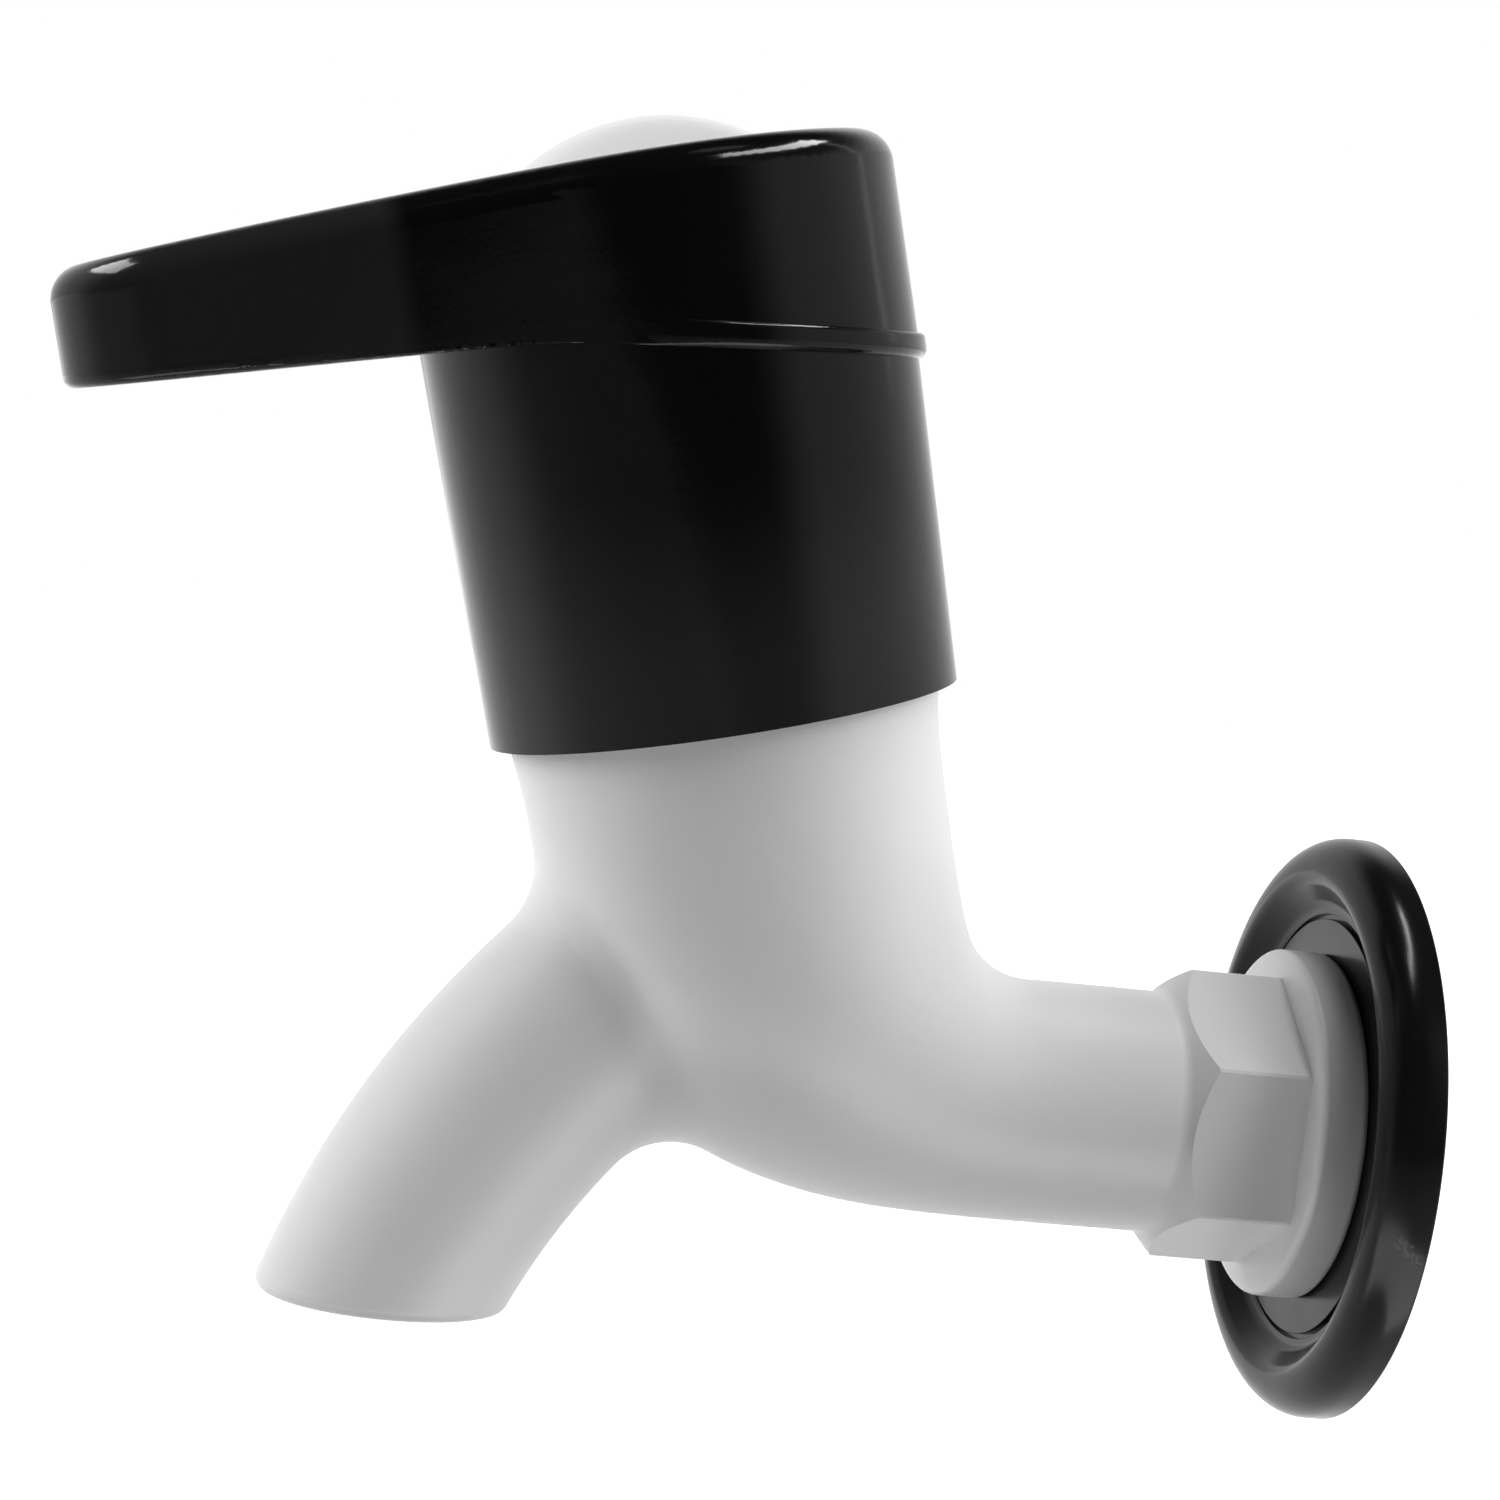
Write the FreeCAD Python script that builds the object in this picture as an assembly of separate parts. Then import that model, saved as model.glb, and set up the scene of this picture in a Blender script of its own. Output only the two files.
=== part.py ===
import FreeCAD, Part
import math
import os
from FreeCAD import Placement, Rotation, Vector

# Bib tap, in millimetres and degrees. +Z is up, -Y is the front, +Y points into the wall.
# The origin is where the inlet axis meets the wall. The headwork stands on an axis of its own,
# which leans forward: "level" is a height along that axis, "forward" is away from the wall.

# Headwork axis
lean = 15.5
axis_from_wall = 59.0

# Inlet thread and tail (G 1/2 male)
thread_radius = 10.4775
tail_length = 8.0
tail_chamfer = 1.0
thread_start = 1.0
relief_radius = 9.3
inlet_bore_radius = 7.5

# Collar, hexagon and inlet arm
collar_radius = 17.6
collar_thickness = 5.0
collar_round = 0.8
hexagon_flats = 25.9
hexagon_length = 12.2
hexagon_turn = -4.0
hexagon_chamfer = 2.6
hexagon_corner = 14.85
hexagon_sink = 0.3
hexagon_foot_round = 1.5
arm_radius = 12.15

# Elbow between the arm and the barrel: its loops fan out from one pivot above the throat
elbow_start = 33.0
pivot_height = 20.0
elbow_loops = 4
straight_loops = 4
skin_poles = 16
elbow_swelling = 1.3

# Barrel
barrel_radius = 20.4
barrel_flare = 1.2
barrel_flare_power = 1.6
barrel_top = 39.0
barrel_wall = 2.8
core_depth = 15.0
neck_rise = 5.0
neck_wall = 3.5

# Valve chamber
seat_level = 11.0
seat_port_radius = 5.6
chamber_gap = 0.4
chamber_thread_gap = 0.1
outlet_port_radius = 4.5
outlet_port_rise = 6.4

# Spout: an arc that ends in a level mouth
mouth_forward = 37.8
mouth_drop = 25.0
mouth_angle = 20.0
mouth_overrun = 10.0
mouth_round = 1.2
spout_bend_radius = 87.0
spout_root_angle = 52.0
spout_mouth_radius = 11.4
spout_root_radius = 12.5
spout_bore_radius = 8.1
spout_bore_root_angle = 43.0
spout_blend = 8.0
spout_loops = 6

# Wall flange
flange_radius = 29.5
flange_height = 5.6
flange_seat = 3.3
flange_wall = 1.9
flange_rim_width = 4.6
flange_shoulder_round = 4.2
flange_crest_round = 1.9
flange_slope_width = 2.2
flange_foot_round = 1.5
flange_floor_drop = 0.2
flange_groove_inset = 1.3
flange_groove_width = 0.5
flange_groove_depth = 0.7
flange_hole_clearance = 0.4

# Discs and seat seal
disc_thickness = 3.2
disc_film = 0.02
disc_clearance = 0.1
disc_port_inner = 2.0
disc_port_outer = 6.4
disc_port_width = 76.0
disc_lug_reach = 1.0
disc_lug_width = 22.0
drive_slot_width = 4.0
drive_slot_depth = 1.5
drive_clearance = 0.05
seal_height = 2.4
seal_port_gap = 0.1

# Spindle and what it carries
spindle_radius = 4.2
spindle_running_gap = 0.05
foot_hub_radius = 5.8
foot_height = 2.4
ear_reach = 2.0
ear_width = 40.0
quarter_turn = 90.0
half_turn = 180.0
stop_spare = 1.5
axial_play = 0.1
washer_thickness = 0.7
oring_section = 1.2
oring_film = 0.02
oring_groove_width = 1.44
oring_first = 6.0
oring_pitch = 8.0
clip_thickness = 0.8
clip_reach = 2.0
clip_opening = 70.0
clip_groove_depth = 0.8
spline_step = 0.2
spline_depth = 0.45
spline_teeth = 20
spline_length = 13.6
spline_clearance = 0.08
spline_lead = 0.6
tapped_hole_depth = 13.0

# Headwork body
headwork_cavity_gap = 0.2
headwork_sleeve_wall = 1.2
headwork_sleeve_rise = 0.6
headwork_thread_step = 1.2
headwork_thread_length = 12.0
headwork_thread_lead = 1.0
headwork_undercut = 2.0
headwork_flange_inset = 0.4
headwork_flange_thickness = 1.4
headwork_flats = 23.0
headwork_hexagon_length = 6.0
headwork_nose_wall = 3.35
headwork_nose_length = 2.8
headwork_bevel = 0.5
window_rise = 0.4
window_height = 5.4
window_width = 80.0
lug_slot_spare = 2.0
gasket_thickness = 0.8
gasket_inset = 0.25

# Handle skirt
skirt_overlap = 2.0
skirt_clearance = 0.3
skirt_wall = 1.25
skirt_taper = 0.95
skirt_height = 38.4
spigot_height = 2.2
spigot_wall = 1.6
spigot_clearance = 0.2

# Joint line between the skirt and the lever, seen from the side
joint_bend_forward = 14.0
joint_back_slope = 10.9
joint_front_slope = 2.8
joint_bend_radius = 60.0
band_height = 2.6
band_proud = 0.65
band_round = 0.5
band_foot_round = 1.1

# Lever
lever_height = 16.35
lever_reach = 58.1
tip_radius = 10.5
flank_radius = 90.0
lever_top_slope = 0.83
lever_crown_radius = 770.0
lever_back_crown_radius = 210.0
lever_edge_round = 3.4
crown_points = 4
lever_wall = 2.2
rib_thickness = 1.6
well_wall = 2.0
web_thickness = 3.0
boss_wall = 4.0

# Cap, screw and washer
cap_radius = 12.7
cap_rise = 4.9
cap_edge = 0.6
cap_recess_depth = 1.35
cap_ledge = 3.0
cap_wall = 1.5
cap_clearance = 0.15
cap_skirt_depth = 7.0
screw_radius = 2.0
screw_length = 13.0
screw_head_radius = 3.8
screw_head_height = 2.8
screw_head_round = 1.2
screw_slot_width = 1.0
screw_slot_length = 5.6
screw_slot_depth = 1.6
screw_thread_gap = 0.05
screw_hole_gap = 0.3
screw_washer_brim = 0.8
screw_washer_thickness = 0.8

# How far joined solids run into each other, how far cuts run past a face, and a long way off
overlap = 0.5
through = 1.0
far = 120.0

# Levels on the headwork axis that follow from the sizes above
neck_top = barrel_top + neck_rise
core_floor = barrel_top - core_depth
seal_top = seat_level + seal_height
disc_meeting = seal_top + disc_thickness
moving_disc_top = disc_meeting + disc_film + disc_thickness
foot_bottom = moving_disc_top + axial_play
foot_top = foot_bottom + foot_height
headwork_bottom = seat_level + headwork_sleeve_rise
headwork_shoulder = foot_top + washer_thickness + axial_play
headwork_seat = neck_top + gasket_thickness
headwork_flange_top = headwork_seat + headwork_flange_thickness
headwork_hexagon_top = headwork_flange_top + headwork_hexagon_length
headwork_top = headwork_hexagon_top + headwork_nose_length
headwork_thread_top = neck_top - headwork_undercut
headwork_thread_bottom = headwork_thread_top - headwork_thread_length
clip_level = headwork_top + axial_play
spline_start = clip_level + clip_thickness + spline_lead
spindle_top = spline_start + spline_length
boss_bottom = spline_start + spline_step
web_top = spindle_top + web_thickness
screw_seat = web_top + screw_washer_thickness
skirt_bottom = barrel_top - skirt_overlap
joint_bend_level = skirt_bottom + skirt_height
lever_top = joint_bend_level + lever_height
cap_floor = lever_top - cap_recess_depth

# Radii that follow from the sizes above
cavity_radius = foot_hub_radius + ear_reach + headwork_cavity_gap
disc_radius = cavity_radius - disc_clearance
sleeve_radius = cavity_radius + headwork_sleeve_wall
chamber_radius = sleeve_radius + chamber_gap
headwork_thread_radius = sleeve_radius + headwork_thread_step
chamber_thread_radius = headwork_thread_radius + chamber_thread_gap
neck_radius = chamber_thread_radius + neck_wall
headwork_flange_radius = neck_radius - headwork_flange_inset
spindle_bore = spindle_radius + spindle_running_gap
groove_floor = spindle_radius - oring_section
spline_radius = spindle_radius - spline_step
skirt_bore = barrel_radius + barrel_flare + skirt_clearance
skirt_bottom_radius = skirt_bore + skirt_wall
hub_radius = skirt_bottom_radius + skirt_taper
tip_forward = lever_reach - tip_radius
well_radius = cap_radius - cap_ledge
screw_hole_radius = screw_radius + screw_hole_gap


def on_axis(shape):
    """Moves a shape that was built about the Z axis onto the leaning headwork axis."""
    moved = shape.copy()
    turn = Placement(Vector(0, -axis_from_wall, 0), Rotation(Vector(1, 0, 0), lean))
    moved.Placement = turn.multiply(moved.Placement)
    return moved


def from_wall(shape):
    """Turns a shape that was built about Z onto the inlet axis, with its top towards the front."""
    moved = shape.copy()
    moved.Placement = Placement(Vector(0, 0, 0), Rotation(Vector(1, 0, 0), 90)).multiply(moved.Placement)
    return moved


def rod(radius, low, high):
    return Part.makeCylinder(radius, high - low, Vector(0, 0, low))


def ring(inner, outer, low, high):
    return rod(outer, low, high).cut(rod(inner, low - through, high + through))


def sector(inner, outer, low, high, middle, width):
    """A piece of a ring, width degrees wide about the direction middle."""
    wedge = Part.makeCylinder(outer, high - low, Vector(0, 0, low), Vector(0, 0, 1), width)
    wedge.rotate(Vector(0, 0, 0), Vector(0, 0, 1), middle - width / 2)
    return wedge.cut(rod(inner, low - through, high + through))


def both_sides(make, middle):
    """The same feature at a direction and opposite it."""
    return make(middle).fuse(make(middle + half_turn))


def turned(points):
    """Revolves a closed (radius, level) outline about Z."""
    corners = [Vector(r, 0, level) for r, level in points]
    outline = Part.makePolygon(corners + corners[:1])
    return Part.Face(outline).revolve(Vector(0, 0, 0), Vector(0, 0, 1), 360)


def circles_at(shape, radius, level):
    """The round edges of a turned shape at a radius and level."""
    return [edge for edge in shape.Edges if abs(edge.BoundBox.ZMax - level) < 0.01
            and abs(edge.BoundBox.ZMin - level) < 0.01 and abs(edge.BoundBox.XMax - radius) < 0.01]


def prism(flats, low, high, turn=0.0):
    """A hexagonal prism; with no turn its corners lie on X."""
    corner = flats / 2 / math.cos(math.radians(30))
    angles = [math.radians(60 * k + turn) for k in range(7)]
    wire = Part.makePolygon([Vector(corner * math.cos(a), corner * math.sin(a), low) for a in angles])
    return Part.Face(wire).extrude(Vector(0, 0, high - low))


def axis_point(forward, level):
    """A point of the tap's plane of symmetry, from its place beside the headwork axis."""
    slope = math.radians(lean)
    return Vector(0, -axis_from_wall - forward * math.cos(slope) - level * math.sin(slope),
                  -forward * math.sin(slope) + level * math.cos(slope))


def loop_of_poles(centre, tilt, radius):
    """The poles of a round loop whose plane holds X; its normal is +Z turned by tilt about X."""
    step = 2 * math.pi / skin_poles
    pole_radius = radius * 6 / (4 + 2 * math.cos(step))
    slope = math.radians(tilt)
    poles = []
    for k in range(skin_poles):
        across = pole_radius * math.cos(step * k)
        along = pole_radius * math.sin(step * k)
        poles.append(centre + Vector(across, along * math.cos(slope), along * math.sin(slope)))
    return poles


def skin(loops):
    """A closed solid with one smooth cubic surface guided by (centre, tilt, radius) loops."""
    rows = [loop_of_poles(*loop) for loop in loops]
    poles = [[row[k] for row in rows] for k in range(skin_poles)]
    spans = len(rows) - 3
    surface = Part.BSplineSurface()
    surface.buildFromPolesMultsKnots(
        poles, [1] * (skin_poles + 1), [4] + [1] * (spans - 1) + [4],
        list(range(skin_poles + 1)), list(range(spans + 1)), True, False, 3, 3)
    side = surface.toShape()
    ends = [Part.Face(Part.Wire([edge])) for edge in side.Edges if edge.isClosed()]
    closed = Part.Shell([side] + ends)
    closed.sewShape()
    solid = Part.Solid(closed)
    if solid.Volume < 0:
        solid.reverse()
    return solid


def barrel_and_arm():
    """The barrel bends into the inlet arm in one smooth skin."""
    pivot = Vector(0, -elbow_start, pivot_height)
    slope = math.radians(lean)
    pivot_level = (axis_from_wall - elbow_start) * math.sin(slope) + pivot_height * math.cos(slope)
    pivot_behind = (axis_from_wall - elbow_start) * math.cos(slope) + pivot_height * math.sin(slope)
    loops = []
    for k in range(straight_loops):
        share = 1 - k / straight_loops
        level = pivot_level + (barrel_top - pivot_level) * share
        flare = barrel_flare * share ** barrel_flare_power
        loops.append((axis_point(0, level), lean, barrel_radius + flare))
    for k in range(elbow_loops + 1):
        share = k / elbow_loops
        tilt = lean + (90 - lean) * share
        to_arm = (1 - share) ** elbow_swelling
        blend = to_arm * to_arm * (3 - 2 * to_arm)
        radius = arm_radius + (barrel_radius - arm_radius) * blend
        throat = (pivot_behind - barrel_radius) * (1 - share) + (pivot_height - arm_radius) * share
        outward = Vector(0, -math.cos(math.radians(tilt)), -math.sin(math.radians(tilt)))
        loops.append((pivot + outward * (throat + radius), tilt, radius))
    arm_end = flange_seat + collar_thickness + hexagon_length / 2
    for k in range(1, straight_loops):
        along = elbow_start + (arm_end - elbow_start) * k / (straight_loops - 1)
        loops.append((Vector(0, -along, 0), 90, arm_radius))
    return skin(loops)


def spout_point(angle):
    """The spout's centre line: an arc that ends at the mouth, where it leans by mouth_angle."""
    end = math.radians(mouth_angle)
    here = math.radians(angle)
    middle = Vector(0, -axis_from_wall - mouth_forward + spout_bend_radius * math.cos(end),
                    -mouth_drop - spout_bend_radius * math.sin(end))
    return middle + Vector(0, -math.cos(here), math.sin(here)) * spout_bend_radius


def spout_sweep(root_angle, root_radius, end_radius):
    """A tube along the spout's arc, from its root to a little past the mouth."""
    loops = []
    for k in range(spout_loops + 1):
        share = k / spout_loops
        angle = root_angle + (mouth_angle - mouth_overrun - root_angle) * share
        radius = root_radius + (end_radius - root_radius) * share
        loops.append((spout_point(angle), -angle, radius))
    return skin(loops)


def inlet_end():
    """Hexagon, collar and threaded tail, turned about the inlet axis."""
    collar_front = flange_seat + collar_thickness
    hexagon_front = collar_front + hexagon_length
    hexagon = prism(hexagon_flats, collar_front - overlap, hexagon_front, 90 + hexagon_turn)
    envelope = turned([(0, flange_seat), (hexagon_corner, flange_seat),
                       (hexagon_corner, hexagon_front - hexagon_chamfer),
                       (arm_radius - hexagon_sink, hexagon_front), (0, hexagon_front)])
    collar = rod(collar_radius, flange_seat, collar_front)
    collar = collar.makeFillet(collar_round, collar.Edges)
    relief = rod(relief_radius, thread_start - overlap, flange_seat + overlap)
    thread = turned([(0, -tail_length), (thread_radius - tail_chamfer, -tail_length),
                     (thread_radius, tail_chamfer - tail_length), (thread_radius, thread_start),
                     (0, thread_start)])
    return from_wall(hexagon.common(envelope).fuse([collar, relief, thread]))


def on_both(edge, first, second):
    """True where an edge lies on the skin of both solids."""
    middle = Part.Vertex(edge.valueAt((edge.FirstParameter + edge.LastParameter) / 2))
    return all(min(middle.distToShape(face)[0] for face in solid.Faces) < 0.001
               for solid in (first, second))


def tap_body():
    """One moulding: threaded tail, collar, hexagon, arm, barrel and spout, with the waterway cut."""
    trunk = barrel_and_arm()
    spout = spout_sweep(spout_root_angle, spout_root_radius, spout_mouth_radius)
    shell = trunk.fuse(spout)
    shell = shell.makeFillet(spout_blend, [edge for edge in shell.Edges if on_both(edge, trunk, spout)])
    below_mouth = Part.makeBox(far, far, far, Vector(-far / 2, -axis_from_wall - far, -mouth_drop - far))
    shell = shell.cut(below_mouth)
    lip = [edge for edge in shell.Edges if abs(edge.BoundBox.ZMax + mouth_drop) < 0.01]
    shell = shell.makeFillet(mouth_round, lip)
    wall_end = inlet_end()
    shell = shell.fuse(wall_end)
    foot = [edge for edge in shell.Edges if on_both(edge, trunk, wall_end)]
    shell = shell.makeFillet(hexagon_foot_round, foot)
    shell = shell.fuse(on_axis(rod(neck_radius, core_floor - overlap, neck_top)))
    return shell.cut(on_axis(core_ring())).cut(waterway())


def core_ring():
    """The gap between the barrel's outer wall and the neck that holds the headwork."""
    between = ring(neck_radius, barrel_radius - barrel_wall, core_floor, neck_top)
    return between.fuse(ring(neck_radius, far, barrel_top, neck_top))


def waterway():
    """Inlet bore, seat port, valve chamber, headwork thread, outlet port and spout bore."""
    inlet = rod(inlet_bore_radius, -tail_length - through, axis_from_wall)
    inlet_end_round = Part.makeSphere(inlet_bore_radius, Vector(0, 0, axis_from_wall))
    port_start = headwork_thread_bottom - headwork_thread_lead
    well = rod(seat_port_radius, 0, seat_level + through)
    chamber = rod(chamber_radius, seat_level, port_start)
    thread = rod(chamber_thread_radius, port_start, neck_top + through)
    outlet_top = axis_point(0, disc_meeting + outlet_port_rise)
    bore_root = spout_point(spout_bore_root_angle)
    run = bore_root - outlet_top
    outlet = Part.makeCylinder(outlet_port_radius, run.Length, outlet_top, run)
    bore = spout_sweep(spout_bore_root_angle, spout_bore_radius, spout_bore_radius)
    bore_round = Part.makeSphere(spout_bore_radius, bore_root)
    return from_wall(inlet.fuse(inlet_end_round)).fuse(
        [on_axis(well.fuse([chamber, thread])), outlet, bore, bore_round])


def wall_flange():
    """Moulded trim plate with a rolled rim, a dished face and a fine groove round its middle."""
    hole = thread_radius + flange_hole_clearance
    rim_inside = flange_radius - flange_rim_width
    recess = rim_inside - flange_slope_width
    groove_radius = recess - flange_groove_inset
    floor = flange_seat - flange_floor_drop
    plate = turned([
        (hole, flange_seat - flange_wall), (hole, flange_seat), (groove_radius, flange_seat),
        (groove_radius, floor), (recess, floor), (rim_inside, flange_height),
        (flange_radius, flange_height), (flange_radius, 0), (flange_radius - flange_wall, 0),
        (flange_radius - flange_wall, flange_height - flange_wall - flange_shoulder_round / 2),
        (rim_inside, flange_height - flange_wall), (recess, flange_seat - flange_wall)])
    plate = plate.makeFillet(flange_shoulder_round, circles_at(plate, flange_radius, flange_height))
    plate = plate.makeFillet(flange_crest_round, circles_at(plate, rim_inside, flange_height))
    plate = plate.makeFillet(flange_foot_round, circles_at(plate, recess, floor))
    half = flange_groove_width / 2
    groove = ring(groove_radius - half, groove_radius + half, flange_seat - flange_groove_depth, flange_height)
    return from_wall(plate.cut(groove))


def seat_seal():
    return on_axis(ring(disc_port_outer + seal_port_gap, disc_radius, seat_level, seal_top))


def disc(low, port_middle):
    """A ceramic disc with two ports, one at a direction and one opposite it."""
    high = low + disc_thickness
    return rod(disc_radius, low, high).cut(both_sides(
        lambda middle: sector(disc_port_inner, disc_port_outer, low - through, high + through,
                              middle, disc_port_width), port_middle))


def fixed_disc():
    """Its lugs stop it turning in the sleeve."""
    lugs = both_sides(lambda middle: sector(disc_radius - overlap, disc_radius + disc_lug_reach, seal_top,
                                            disc_meeting, middle, disc_lug_width), 0)
    return on_axis(disc(seal_top, 90).fuse(lugs))


def moving_disc():
    """Its ports stand a quarter turn from the fixed ones while the tap is shut."""
    slot = drive_bar(drive_slot_width / 2 + drive_clearance, disc_radius + through, drive_slot_depth)
    return on_axis(disc(disc_meeting + disc_film, 90 - quarter_turn).cut(slot))


def drive_bar(half_width, half_length, depth):
    """A bar across the top of the moving disc, let into it by a depth."""
    return Part.makeBox(2 * half_width, 2 * half_length, depth + foot_height / 2,
                        Vector(-half_width, -half_length, moving_disc_top - depth))


def headwork_body():
    """Turned sleeve that holds the discs below, screws into the neck and guides the spindle."""
    nose_radius = spindle_bore + headwork_nose_wall
    sleeve = turned([
        (0, headwork_bottom), (sleeve_radius, headwork_bottom), (sleeve_radius, headwork_thread_bottom),
        (headwork_thread_radius, headwork_thread_bottom + headwork_thread_lead),
        (headwork_thread_radius, headwork_thread_top),
        (sleeve_radius, headwork_thread_top + headwork_thread_lead), (sleeve_radius, headwork_seat),
        (headwork_flange_radius, headwork_seat), (headwork_flange_radius, headwork_flange_top),
        (nose_radius, headwork_flange_top), (nose_radius, headwork_top - headwork_bevel),
        (nose_radius - headwork_bevel, headwork_top), (0, headwork_top)])
    rounding = turned([
        (0, headwork_seat), (headwork_flange_radius, headwork_seat),
        (headwork_flange_radius, headwork_hexagon_top - headwork_bevel),
        (headwork_flats / 2, headwork_hexagon_top), (0, headwork_hexagon_top)])
    hexagon = prism(headwork_flats, headwork_flange_top - overlap, headwork_hexagon_top).common(rounding)
    solid = sleeve.fuse(hexagon)
    solid = solid.cut(rod(cavity_radius, headwork_bottom - through, foot_top + axial_play))
    hub_bore = foot_hub_radius + headwork_cavity_gap
    solid = solid.cut(rod(hub_bore, foot_top, headwork_shoulder))
    solid = solid.cut(rod(spindle_bore, foot_top, headwork_top + through))
    stop_width = half_turn - quarter_turn - ear_width - 2 * stop_spare
    stops = both_sides(lambda middle: sector(hub_bore, cavity_radius + overlap, foot_bottom + axial_play,
                                             foot_top + overlap, middle, stop_width), 0)
    lug_slots = both_sides(lambda middle: sector(
        disc_radius - overlap, sleeve_radius + through, headwork_bottom - through,
        disc_meeting + axial_play, middle, disc_lug_width + lug_slot_spare), 0)
    window_bottom = disc_meeting + window_rise
    windows = both_sides(lambda middle: sector(
        cavity_radius - overlap, sleeve_radius + through, window_bottom, window_bottom + window_height,
        middle, window_width), 90)
    return on_axis(solid.fuse(stops).cut(lug_slots).cut(windows))


def headwork_gasket():
    return on_axis(ring(chamber_thread_radius + gasket_inset, headwork_flange_radius - gasket_inset,
                        neck_top, headwork_seat))


def splined(radius, low, high):
    """A spline: straight-sided teeth round a rod."""
    corners = []
    pitch = 2 * math.pi / spline_teeth
    for tooth in range(spline_teeth):
        for share, depth in ((0.0, 0.0), (0.3, 0.0), (0.5, spline_depth), (0.8, spline_depth)):
            angle = pitch * (tooth + share)
            reach = radius - depth
            corners.append(Vector(reach * math.cos(angle), reach * math.sin(angle), low))
    return Part.Face(Part.makePolygon(corners + corners[:1])).extrude(Vector(0, 0, high - low))


def oring_level(count):
    return headwork_shoulder + oring_first + oring_pitch * count


def spindle():
    """Foot with stop ears and a driving tongue, grooved stem, clip groove and splined end."""
    stem = rod(spindle_radius, foot_bottom, spline_start)
    foot = rod(foot_hub_radius, foot_bottom, foot_top)
    ears = both_sides(lambda middle: sector(
        spindle_radius, foot_hub_radius + ear_reach, foot_bottom, foot_top - axial_play,
        middle, ear_width), (half_turn - quarter_turn) / 2)
    tongue = drive_bar(drive_slot_width / 2, foot_hub_radius, drive_slot_depth - 2 * axial_play)
    tongue = tongue.common(rod(foot_hub_radius, 0, foot_top))
    spline = splined(spline_radius, spline_start - overlap, spindle_top)
    solid = stem.fuse([foot, ears, tongue, spline])
    half = oring_groove_width / 2
    for count in (0, 1):
        level = oring_level(count)
        solid = solid.cut(ring(groove_floor, spindle_radius + through, level - half, level + half))
    solid = solid.cut(ring(spindle_radius - clip_groove_depth, spindle_radius + through, clip_level,
                           clip_level + clip_thickness))
    tapped_hole = rod(screw_radius + screw_thread_gap, spindle_top - tapped_hole_depth, spindle_top + through)
    return on_axis(solid.cut(tapped_hole))


def spindle_oring(count):
    section_radius = (spindle_bore - oring_film - groove_floor) / 2
    return on_axis(Part.makeTorus(groove_floor + section_radius, section_radius,
                                  Vector(0, 0, oring_level(count))))


def friction_washer():
    return on_axis(ring(spindle_bore, foot_hub_radius, foot_top, foot_top + washer_thickness))


def retaining_clip():
    """Spring clip in the spindle's groove, open at one side so that it can be pushed on."""
    clip_top = clip_level + clip_thickness
    clip = ring(spindle_radius - clip_groove_depth, spindle_radius + clip_reach, clip_level, clip_top)
    mouth = sector(overlap, spindle_radius + clip_reach + through, clip_level - through, clip_top + through,
                   90, clip_opening)
    return on_axis(clip.cut(mouth))


def handle_outline(hub, tip, flank):
    """The handle in plan, as a wire: a hub, a rounded tip and a hollow flank at each side."""
    to_hub = hub + flank
    to_tip = tip + flank
    along = (tip_forward ** 2 + to_hub ** 2 - to_tip ** 2) / (2 * tip_forward)
    across = math.sqrt(to_hub ** 2 - along ** 2)
    leave = (across * hub / to_hub, along * hub / to_hub)
    arrive = (across * tip / to_tip, tip_forward + (along - tip_forward) * tip / to_tip)
    waist_along = (leave[1] + arrive[1]) / 2
    waist = (across - math.sqrt(flank ** 2 - (along - waist_along) ** 2), waist_along)

    def flat(point, side):
        return Vector(side * point[0], -point[1], 0)

    return Part.Wire([
        Part.Arc(flat(leave, 1), Vector(0, hub, 0), flat(leave, -1)).toShape(),
        Part.Arc(flat(leave, -1), flat(waist, -1), flat(arrive, -1)).toShape(),
        Part.Arc(flat(arrive, -1), Vector(0, -tip_forward - tip, 0), flat(arrive, 1)).toShape(),
        Part.Arc(flat(arrive, 1), flat(waist, 1), flat(leave, 1)).toShape(),
    ])


def handle_block(hub_offset, tip_offset):
    """The handle's plan, made taller than the handle, with its hub and tip moved out or in."""
    flank = flank_radius - (hub_offset + tip_offset) / 2
    wire = handle_outline(hub_radius + hub_offset, tip_radius + tip_offset, flank)
    return Part.Face(wire).extrude(Vector(0, 0, far))


def side_prism(edges):
    """Extrudes a closed outline of the side view across the whole tap."""
    face = Part.Face(Part.Wire([edge.toShape() for edge in edges]))
    face.translate(Vector(-far / 2, 0, 0))
    return face.extrude(Vector(far, 0, 0))


def below_joint(raised):
    """All that lies under the joint line, seen from the side, raised by a distance."""
    back = math.radians(joint_back_slope)
    front = math.radians(joint_front_slope)
    level = joint_bend_level + raised
    half_bend = (back - front) / 2
    tangent = joint_bend_radius * math.tan(half_bend)
    dip = joint_bend_radius * (1 / math.cos(half_bend) - 1)
    rear = Vector(0, tangent * math.cos(back) - joint_bend_forward, level - tangent * math.sin(back))
    fore = Vector(0, -joint_bend_forward - tangent * math.cos(front), level + tangent * math.sin(front))
    middle = (back + front) / 2
    bend = Vector(0, -joint_bend_forward - dip * math.sin(middle), level - dip * math.cos(middle))
    rear_end = rear + Vector(0, far, -far * math.tan(back))
    fore_end = fore + Vector(0, -far, far * math.tan(front))
    rear_foot = Vector(0, rear_end.y, -far)
    fore_foot = Vector(0, fore_end.y, -far)
    return side_prism([
        Part.LineSegment(rear_end, rear), Part.Arc(rear, bend, fore), Part.LineSegment(fore, fore_end),
        Part.LineSegment(fore_end, fore_foot), Part.LineSegment(fore_foot, rear_foot),
        Part.LineSegment(rear_foot, rear_end)])


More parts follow.
